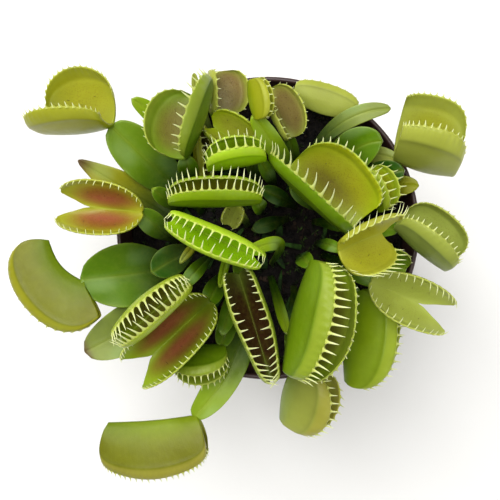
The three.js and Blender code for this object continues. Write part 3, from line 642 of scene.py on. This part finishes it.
def add_hairs(skin, trap, way, side):
    size = min(1, trap["width"] / MIDDLING_WIDTH)
    for share, across in HAIRS:
        spot = np.array([across])
        foot = lobe_points(trap, way, side, spot, np.array([share]))[0, 0]
        inward = lobe_inward(trap, way, side, spot, np.array([share]))[0, 0]
        foot = foot + inward * 0.3
        tip = foot + inward * HAIR_LENGTH * size
        wide = unit(np.cross(inward, way["along"])) * HAIR_RADIUS
        add_spike(skin, foot, mix(foot, tip, 0.5), tip, wide, HAIR_RADIUS, [HAIR_COLOUR] * 2, 3, 4)


def lobe_shares(trap):
    """Places along the rib, five to a tooth, and closer together at the two ends."""
    count = tooth_count(trap) * COLUMNS_PER_TOOTH
    inner = FRINGE_START + FRINGE_RUN * (np.arange(count) + 0.5) / count
    ends = np.array([0, 0.005, 0.013])
    return np.concatenate([ends, inner, 1 - ends[::-1]])


def lobe_tones(leaf, share, across):
    """The colours of the inner and the outer face, and how strong the mouth's flush is."""
    trap = leaf["trap"]
    outside = TISSUE[trap["outside"]]
    inside = TISSUE[trap.get("inside", trap["outside"])]
    band = TISSUE[trap["band"]] if "band" in trap else mix(outside, BAND_COLOUR, 0.45)
    rim = TISSUE[trap["rim"]] if "rim" in trap else band
    strength, reach = trap.get("flush", (0.8, 0.8))
    away = np.hypot((share[None] - 0.5) / 0.52, (across - 0.4) / 0.52)
    flush = strength * (1 - ease(away, reach - 0.5, reach + 0.3))

    inner = mix(mix(outside, rim, 0.4), inside, flush[..., None])
    if "streak" in trap:
        streak = np.exp(-((across - 0.3) / 0.16) ** 2) * np.exp(-((share[None] - 0.55) / 0.3) ** 2)
        inner = mix(inner, TISSUE[trap["streak"]], streak[..., None] * 0.8)
    ridge = np.exp(-(across / 0.03) ** 2) * 0.3 * (1 - 0.7 * flush)
    inner = mix(inner, RIB_COLOUR, ridge[..., None])
    # Painted shade darkens the inside of the mouth near the neck
    inner = inner * (1 - trap.get("shaded", 0) * (1 - ease(share, 0.05, 0.45))[None, :, None])
    inner = mix(inner, rim, (ease(across, 0.84, 0.95) * 0.7)[..., None] * (1 - 0.5 * flush[..., None]))

    beyond = ease(across, 0.78, 0.84)[..., None] * np.ones_like(share)[None, :, None]
    # Painted shade: a dark line along the crease of the outer face
    crease = np.exp(-((across - 0.75) / 0.03) ** 2)[..., None]
    outer = mix(outside, inside, 0.12) * (1 - 0.16 * crease)
    outer = mix(outer, band, beyond * 0.75)
    stalk = TISSUE[leaf.get("colour", STALK_COLOUR)]
    outer = mix(outer, stalk, (np.exp(-(across / 0.3) ** 2) * 0.6)[..., None])
    return inner, outer, flush


def add_rim(skin, points, tone, vein, inner, outer, flip):
    """One row of points along an edge, joined to both faces. Returns the points' numbers."""
    numbers = skin.add(points[None], tone[None], 0, vein[None])[0]
    skin.sheet(np.stack([inner, numbers]), flip)
    skin.sheet(np.stack([numbers, outer]), flip)
    return numbers


def add_trap(skin, leaf, draw):
    trap = leaf["trap"]
    way = trap_ways(trap)
    way["neck"] = leaf["neck"]
    rib = np.clip(0.11 * trap["width"], 0.8, RIB_THICKNESS)
    margin = np.clip(0.085 * trap["width"], 0.5, MARGIN_THICKNESS)
    share = lobe_shares(trap)
    size = trap["width"] / MIDDLING_WIDTH
    phase = draw() * WAVE

    middles, inwards, widths = [], [], []
    for side in (-1, 1):
        across = LOBE_ACROSS[::-1] if side < 0 else LOBE_ACROSS[1:]
        points = lobe_points(trap, way, side, across, share)
        inward = lobe_inward(trap, way, side, across, share)
        wave = np.sin(share * trap["length"] * 0.5 + phase + side)[None] * ease(across, 0.4, 1)[:, None]
        flute = web(trap, side, share)[None] * ease(across, 0.8, 0.97)[:, None] * FLUTE_DEPTH * size
        crease = np.exp(-((across - CREASE_AT) / 0.035) ** 2)[:, None] * CREASE_HEIGHT * size
        crease = crease * np.sin(math.pi * share)[None]
        offset = wave * trap["width"] * 0.014 + flute - crease
        middles.append(points + inward * offset[..., None])
        inwards.append(inward)
        widths.append(across)
    middle = np.concatenate(middles)
    inward = np.concatenate(inwards)
    across = np.concatenate(widths)[:, None]
    half = mix(rib, margin, np.minimum(1, across * 1.6)) / 2
    half = half * mix(1, 0.75, ease(across, 0.9, 1))

    inner_tone, outer_tone, flush = lobe_tones(leaf, share, across)
    # Painted shade on both faces, darker and greener low in the clump
    inner_tone = inner_tone * depth_shade(middle)
    outer_tone = outer_tone * depth_shade(middle)
    vein = share[None] * trap["length"] * (1 + 0.12 * across)
    inner = skin.add(middle + inward * half[..., None], inner_tone, flush, vein)
    outer = skin.add(middle - inward * half[..., None], outer_tone, 0, vein)
    skin.sheet(inner, flip=True)
    skin.sheet(outer)

    # A rounded edge all round. Along the margins it rises into a web at the foot of each tooth.
    margins, ends = {}, {}
    for side, index, beyond in ((-1, 0, 1), (1, -1, -2)):
        way_out = unit(middle[index] - middle[beyond])
        rise = half[index] * 0.9 + web(trap, side, share) * WEB_HEIGHT * size
        points = middle[index] + way_out * rise[:, None]
        tone = mix(outer_tone[index], TOOTH_COLOUR, 0.5)
        margins[index] = add_rim(skin, points, tone, vein[index], inner[index], outer[index], index != 0)
    for index, beyond in ((0, 1), (-1, -2)):
        way_out = unit(middle[:, index] - middle[:, beyond])
        points = middle[:, index] + way_out * half * 0.7
        ends[index] = add_rim(skin, points, outer_tone[:, index], vein[:, index], inner[:, index],
                              outer[:, index], index == 0)
    for m in margins:
        for e in ends:
            skin.cap(np.array([inner[m, e], margins[m][e], outer[m, e], ends[e][m]]))
    for side in (-1, 1):
        add_teeth(skin, trap, way, side, draw)
        add_hairs(skin, trap, way, side)


# Materials
class Nodes:
    """Short calls for building one node material."""

    def __init__(self, name):
        self.material = bpy.data.materials.new(name)
        self.material.use_nodes = True
        self.tree = self.material.node_tree
        self.shader = self.tree.nodes["Principled BSDF"]
        self.place = self.node("ShaderNodeTexCoord").outputs["Object"]

    def node(self, kind, inputs=(), **settings):
        node = self.tree.nodes.new(kind)
        for key, value in settings.items():
            setattr(node, key, value)
        for key, value in dict(inputs).items():
            self.put(node.inputs[key], value)
        return node

    def put(self, socket, value):
        if isinstance(value, bpy.types.NodeSocket):
            self.tree.links.new(value, socket)
        elif isinstance(value, np.ndarray):
            socket.default_value = (*value, 1)
        else:
            socket.default_value = value

    def set(self, name, value):
        self.put(self.shader.inputs[name], value)

    def noise(self, scale, detail=3, roughness=0.55, place=None):
        inputs = {"Vector": place or self.place, "Scale": scale, "Detail": detail, "Roughness": roughness}
        return self.node("ShaderNodeTexNoise", inputs).outputs["Fac"]

    def spread(self, value, low, high, out_low=0.0, out_high=1.0):
        inputs = {"Value": value, "From Min": low, "From Max": high, "To Min": out_low, "To Max": out_high}
        return self.node("ShaderNodeMapRange", inputs).outputs["Result"]

    def math(self, operation, a, b):
        return self.node("ShaderNodeMath", {0: a, 1: b}, operation=operation).outputs[0]

    def blend(self, share, a, b, how="MIX"):
        node = self.node("ShaderNodeMix", data_type="RGBA", blend_type=how)
        self.put(node.inputs["Factor"], share)
        self.put(node.inputs[6], a)
        self.put(node.inputs[7], b)
        return node.outputs[2]

    def attribute(self, name, output="Fac"):
        return self.node("ShaderNodeAttribute", attribute_name=name).outputs[output]

    def bump(self, height, strength, distance, normal=None):
        node = self.node("ShaderNodeBump", {"Height": height, "Strength": strength, "Distance": distance})
        if normal:
            self.put(node.inputs["Normal"], normal)
        return node.outputs["Normal"]


def leaf_tissue():
    n = Nodes("leaf_tissue")
    tone = n.attribute("tone", "Color")
    gland = n.attribute("gland")
    vein = n.attribute("vein")

    broad = n.spread(n.noise(110), 0.3, 0.7, 0, 0.3)
    clouded = n.blend(broad, tone, n.blend(1.0, tone, colour("b4b46a"), "MULTIPLY"))
    # Painted sheen: pale soft spots over the whole leaf
    sheen_spots = n.spread(n.noise(48, 4, 0.5), 0.5, 0.75, 0, 0.3)
    mottled = n.blend(sheen_spots, clouded, n.blend(0.3, clouded, colour("a8bc5c")))
    fine = n.spread(n.noise(650), 0.45, 0.75, 0, 0.14)
    lifted = n.blend(fine, mottled, n.blend(0.35, mottled, BAND_COLOUR))

    # Faint lines run across the lobes and fan out over the blades.
    waver = n.spread(n.noise(260), 0, 1, -0.9, 0.9)
    turns = n.math("MULTIPLY", n.math("ADD", vein, waver), TURN / VEIN_SPACING)
    line = n.spread(n.math("SINE", turns, 0.0), 0.35, 1.0)
    veined = n.blend(n.math("MULTIPLY", line, 0.03), lifted, n.blend(0.5, lifted, RIB_COLOUR))

    # Glands dot the inside of the lobes.
    dots = n.node("ShaderNodeTexVoronoi", {"Vector": n.place, "Scale": 1900.0}).outputs["Distance"]
    dot = n.math("MULTIPLY", n.spread(dots, 0.42, 0.12), gland)
    red = n.blend(1.0, veined, colour("b06a58"), "MULTIPLY")
    n.set("Base Color", n.blend(n.math("MULTIPLY", dot, 0.4), veined, red))

    n.set("Roughness", n.spread(n.noise(420), 0.3, 0.7, 0.28, 0.42))
    n.set("Specular IOR Level", 0.28)
    n.set("Specular Tint", (1.0, 1.0, 0.7, 1))
    n.set("Subsurface Weight", 0.1)
    n.set("Subsurface Radius", (0.8, 1.0, 0.2))
    n.set("Subsurface Scale", 0.001)
    ridges = n.bump(line, 0.06, 0.0001)
    grain = n.bump(n.noise(2400, 2), 0.25, 0.00008, ridges)
    n.set("Normal", n.bump(dot, 0.3, 0.00012, grain))
    return n.material


def peat_crumb():
    n = Nodes("peat_crumb")
    tone = n.attribute("tone", "Color")
    dark = n.blend(1.0, tone, colour("6a625c"), "MULTIPLY")
    clods = n.blend(n.spread(n.noise(420, 6), 0.35, 0.65), dark, tone)
    damp = n.noise(60)
    wet = n.spread(damp, 0.4, 0.7, 0, 0.45)
    n.set("Base Color", n.blend(wet, clods, colour("070505")))
    n.set("Roughness", n.spread(damp, 0.35, 0.7, 0.95, 0.65))
    n.set("Specular IOR Level", 0.2)
    coarse = n.bump(n.noise(500, 8, 0.7), 0.9, 0.0006)
    n.set("Normal", n.bump(n.noise(2600, 4), 0.6, 0.0001, coarse))
    return n.material


def pot_plastic():
    n = Nodes("pot_plastic")
    base = n.blend(n.spread(n.noise(45), 0.3, 0.7), colour("33201d"), colour("402825"))
    stretched = n.node("ShaderNodeMapping", {"Vector": n.place, "Scale": (60.0, 60.0, 900.0)}).outputs[0]
    scuff = n.spread(n.noise(1.0, 4, place=stretched), 0.56, 0.78)
    scuffed = n.blend(n.math("MULTIPLY", scuff, 0.35), base, colour("6b5750"))
    height = n.node("ShaderNodeSeparateXYZ", {"Vector": n.place}).outputs["Z"]
    splash = n.math("MULTIPLY", n.spread(height, 0.02, 0.0), n.spread(n.noise(180, 5), 0.42, 0.62))
    n.set("Base Color", n.blend(n.math("MULTIPLY", splash, 0.4), scuffed, colour("7a685a")))
    rough_spots = n.spread(n.noise(350), 0.3, 0.7, 0.34, 0.46)
    n.set("Roughness", n.math("ADD", rough_spots, n.math("MULTIPLY", scuff, 0.2)))
    n.set("Specular IOR Level", 0.5)
    grain = n.bump(n.noise(2200, 2), 0.25, 0.00006)
    n.set("Normal", n.bump(scuff, 0.15, 0.00005, grain))
    return n.material


def floor_board():
    n = Nodes("floor_board")
    n.set("Base Color", n.blend(n.noise(25, 4), colour("f2f1ee"), colour("f7f6f4")))
    n.set("Roughness", n.spread(n.noise(60), 0.3, 0.7, 0.75, 0.9))
    return n.material


def add_object(mesh, material):
    mesh.materials.append(material)
    return new_object(mesh.name, mesh)


def dress(piece, node):
    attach(piece, "root")
    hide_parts(node)


# Pot
def pot_inside(height):
    share = np.clip(height / POT_SHOULDER, 0, 1)
    return mix(POT_BASE_RADIUS, POT_SHOULDER_RADIUS, share) - POT_WALL


def arc(centre, radius, start, stop, steps=6):
    turns = np.radians(np.linspace(start, stop, steps))
    return [(centre[0] + radius * math.cos(a), centre[1] + radius * math.sin(a)) for a in turns]


def revolve(profile, sides):
    """Points and faces of a closed profile turned about the Z axis. It starts and ends on the axis."""
    inner = profile[1:-1]
    angle = angles(sides)
    points = [(0, 0, profile[0][1]), (0, 0, profile[-1][1])]
    points += [(r * math.cos(a), r * math.sin(a), z) for r, z in inner for a in angle]
    faces = []
    for i in range(sides):
        j = (i + 1) % sides
        faces.append((0, 2 + j, 2 + i))
        last = 2 + (len(inner) - 1) * sides
        faces.append((1, last + i, last + j))
        for k in range(len(inner) - 1):
            low, high = 2 + k * sides, 2 + (k + 1) * sides
            faces.append((low + i, low + j, high + j, high + i))
    return np.array(points), faces


def make_pot():
    inside, floor = pot_inside(POT_SHOULDER), pot_inside(POT_FLOOR)
    lip = POT_WALL / 2 + 0.1
    profile = [(0, 0), (POT_BASE_RADIUS - 6, 0)]
    profile += arc((POT_BASE_RADIUS - POT_HEEL, POT_HEEL), POT_HEEL, -90, -10)
    profile += [(POT_SHOULDER_RADIUS - 0.05, POT_SHOULDER - 0.4), (POT_SHOULDER_RADIUS + 0.2, POT_SHOULDER)]
    profile += arc((POT_RIM_RADIUS - 0.7, POT_SHOULDER + 0.5), 0.5, -90, 0, 4)
    profile += arc((POT_RIM_RADIUS - lip, POT_HEIGHT - lip), lip, 0, 165, 9)
    profile += [(inside + 0.9, POT_SHOULDER + 2.5), (inside + 0.5, POT_SHOULDER + 1.2)]
    profile += [(inside, POT_SHOULDER - 1), (floor + 0.1, POT_FLOOR + 1.2)]
    profile += [(floor - 1.1, POT_FLOOR), (0, POT_FLOOR)]
    points, faces = revolve(profile, POT_SIDES)
    mesh = new_mesh("pot_shell", points, faces)
    mesh.shade_smooth()
    pot = add_object(mesh, pot_plastic())

    holes = Skin()
    angle = angles(32)
    ring = np.stack([np.cos(angle), np.sin(angle), angle * 0], axis=1) * DRAIN_RADIUS
    for i in range(DRAIN_HOLES):
        turn = TURN * i / DRAIN_HOLES
        centre = np.array([math.cos(turn), math.sin(turn), 0]) * DRAIN_RING_RADIUS
        numbers = holes.add(np.stack([ring + centre - UP, ring + centre + UP * (POT_FLOOR + 1)]), 0)
        holes.tube(numbers)
        holes.cap(numbers[0][::-1])
        holes.cap(numbers[1])
    cutter = new_object("cutter", holes.mesh("cutter"))
    cut = pot.modifiers.new("holes", "BOOLEAN")
    cut.object = cutter
    cut.solver = "EXACT"
    depsgraph = bpy.context.evaluated_depsgraph_get()
    pot.data = bpy.data.meshes.new_from_object(pot.evaluated_get(depsgraph))
    pot.modifiers.clear()
    bpy.data.objects.remove(cutter)
    with_outward_faces(pot.data, merge=1e-6)
    pot.data.set_sharp_from_angle(angle=math.radians(40))
    return pot


# Peat
def peat_height(x, y):
    radius = np.hypot(x, y) / pot_inside(PEAT_EDGE_HEIGHT)
    lumps = np.sin(x * 0.42 + 1) * np.cos(y * 0.37) + 0.6 * np.sin(x * 0.17 - y * 0.31)
    return PEAT_EDGE_HEIGHT + PEAT_MOUND * (1 - radius * radius) + PEAT_LUMP * lumps * (1 - radius)


def rough(x, y):
    """Uneven ground of about 1 mm."""
    return sum(noise.noise((x * rate, y * rate, seed)) * size for rate, size, seed in ROUGHNESS)


def add_lump(skin, centre, size, tone, rng):
    """A small uneven ball."""
    latitudes, sides = 5, 7
    turn = angles(sides) + rng.random() * 6
    tilt = np.linspace(0.15, math.pi - 0.15, latitudes)[:, None]
    level = np.sin(tilt)
    ball = np.stack([level * np.cos(turn), level * np.sin(turn), np.cos(tilt) + turn * 0], axis=-1)
    jitter = np.array([[rng.uniform(0.75, 1.25) for _ in range(sides)] for _ in range(latitudes)])
    shape = np.array([rng.uniform(0.7, 1.3), rng.uniform(0.7, 1.3), rng.uniform(0.5, 0.9)])
    numbers = skin.add(centre + ball * jitter[..., None] * shape * size, tone)
    skin.tube(numbers, flip=True)
    skin.cap(numbers[0])
    skin.cap(numbers[-1][::-1])


def random_spot(rng, reach):
    """A place on the peat, within reach of its middle."""
    radius, angle = reach * math.sqrt(rng.random()), rng.uniform(0, TURN)
    return radius * math.cos(angle), radius * math.sin(angle)


def random_way(rng):
    turn = rng.uniform(0, TURN)
    return np.array([math.cos(turn), math.sin(turn), 0])


def on_ground(x, y, lift):
    return np.array([x, y, peat_height(x, y) + rough(x, y) + lift])


def add_moss(skin, top_radius, rng):
    """Tufts of moss in patches, and small first leaves that lie low between the stalks."""
    made = 0
    while made < MOSS_TUFTS:
        x, y = random_spot(rng, top_radius - 1.5)
        if noise.noise((x * 0.12, y * 0.12, 21.0)) + rng.uniform(-0.25, 0.25) < 0:
            continue
        made += 1
        foot = on_ground(x, y, -0.2)
        green = rng.choice(MOSS_COLOURS)
        for _ in range(6):
            out = random_way(rng)
            tip = foot + (out * rng.uniform(0.3, 0.9) + UP * rng.uniform(0.5, 1)) * rng.uniform(1.2, 2.2)
            middle = mix(foot, tip, 0.5) + UP * 0.3
            across = np.cross(out, UP) * 0.3
            shade = green * rng.uniform(0.7, 1.3)
            add_spike(skin, foot, middle, tip, across, 0.14, (shade, shade * 1.5), 3, 3, power=0.5)
    for _ in range(SEEDLINGS):
        foot = on_ground(*random_spot(rng, top_radius - 7), 0)
        out = random_way(rng)
        tip = on_ground(*(foot + out * rng.uniform(4, 7.5))[:2], 1.4)
        middle = mix(foot, tip, 0.45) + UP * 2.2
        across = np.cross(out, UP) * rng.uniform(0.8, 1.4)
        shade = mix(colour("1d3a0c"), colour("35591a"), rng.random())
        add_spike(skin, foot, middle, tip, across, 0.25, (shade, shade * 1.3), 8, 8, power=0.45)


def make_peat():
    rng = random.Random(11)
    skin = Skin()
    bottom = POT_FLOOR + FIT_GAP
    top_radius = pot_inside(PEAT_EDGE_HEIGHT) - FIT_GAP
    radii = np.linspace(0.4, top_radius, SURFACE_RINGS)
    turn = angles(SURFACE_SIDES)
    x, y = np.outer(radii, np.cos(turn)), np.outer(radii, np.sin(turn))
    bumps = np.array([[rough(a, b) for a, b in zip(*pair)] for pair in zip(x, y)])
    z = peat_height(x, y) + bumps * ease(top_radius - radii, 0, 3)[:, None]
    tone = PEAT_COLOUR * (1 + 0.5 * np.clip(bumps, -0.8, 0.8)[..., None])
    top = skin.add(np.stack([x, y, z], axis=-1), tone)
    low = pot_inside(bottom) - FIT_GAP
    rim = np.stack([low * np.cos(turn), low * np.sin(turn), turn * 0 + bottom], axis=-1)
    foot = skin.add(rim[None], PEAT_COLOUR)
    skin.tube(np.concatenate([top, foot])[::-1])
    skin.cap(top[0])
    skin.cap(foot[0][::-1])
    for _ in range(CRUMBS):
        place = random_spot(rng, top_radius - 1.2)
        size = rng.choice([0.35, 0.5, 0.5, 0.7, 1.0])
        spot = on_ground(*place, size * 0.25)
        shade = rng.choice(CRUMB_COLOURS)
        add_lump(skin, spot, size, shade * rng.uniform(0.7, 1.2), rng)
    for _ in range(FIBRES):
        start = np.array([*random_spot(rng, top_radius - 4), 0])
        end = start + random_way(rng) * rng.uniform(2, 6)
        end *= min(1, (top_radius - 1.5) / np.hypot(*end[:2]))
        middle = (start + end) / 2 + np.array([rng.uniform(-1, 1), rng.uniform(-1, 1), 0])
        for point, lift in ((start, 0.3), (middle, 1.2), (end, 0.4)):
            point[2] = peat_height(point[0], point[1]) + lift
        across = unit(np.cross(end - start, UP)) * 0.12
        shade = mix(colour("4e3a28"), colour("1e1611"), rng.random())
        add_spike(skin, start, middle, end, across, 0.1, (shade, shade), 6, 5, power=0.3)
    add_moss(skin, top_radius, rng)
    return add_object(skin.mesh("peat_surface"), peat_crumb())


# The plant in its pot
tissue = leaf_tissue()
for number, leaf in enumerate(LEAVES, 1):
    draw = random.Random(number).random
    skin = Skin()
    add_stalk(skin, leaf, draw)
    if "trap" in leaf:
        add_trap(skin, leaf, draw)
    name = f"leaf_{number:02d}"
    dress(add_object(skin.mesh(name + "_fine"), tissue), name)
dress(make_pot(), "pot")
dress(make_peat(), "peat")

# Floor, light and camera
FLOOR_HALF = 2500
corners = np.array([(-1, -1, 0), (1, -1, 0), (1, 1, 0), (-1, 1, 0)]) * FLOOR_HALF
floor = add_object(new_mesh("floor", corners, [(0, 1, 2, 3)]), floor_board())

world = bpy.data.worlds.new("studio")
world.use_nodes = True
sky = world.node_tree.nodes["Background"]
sky.inputs["Color"].default_value = (1.0, 1.0, 0.98, 1)
sky.inputs["Strength"].default_value = 0.42
bpy.context.scene.world = world


def add_softbox(name, place, size, watts):
    """A square lamp that faces the pot's rim."""
    lamp = bpy.data.lights.new(name, "AREA")
    lamp.size = size * MM
    lamp.energy = watts
    box = new_object(name, lamp)
    box.location = Vector(place) * MM
    aim = Vector((0, 0, POT_HEIGHT)) - Vector(place)
    box.rotation_euler = aim.to_track_quat("-Z", "Y").to_euler()


add_softbox("key", (-150, 250, 1000), 800, 10)
add_softbox("side", (-700, 750, 750), 300, 4.5)
add_softbox("fill", (600, -500, 700), 800, 2.2)

CAMERA_PLACE = (-5.4, -6.6, 430)
CAMERA_LENS = 84
camera = new_object("camera", bpy.data.cameras.new("camera"))
camera.location = Vector(CAMERA_PLACE) * MM
camera.data.lens = CAMERA_LENS
camera.data.sensor_width = 36
camera.data.clip_start = 0.01
camera.data.clip_end = 20
bpy.context.scene.camera = camera
bpy.context.scene.view_settings.view_transform = "Standard"
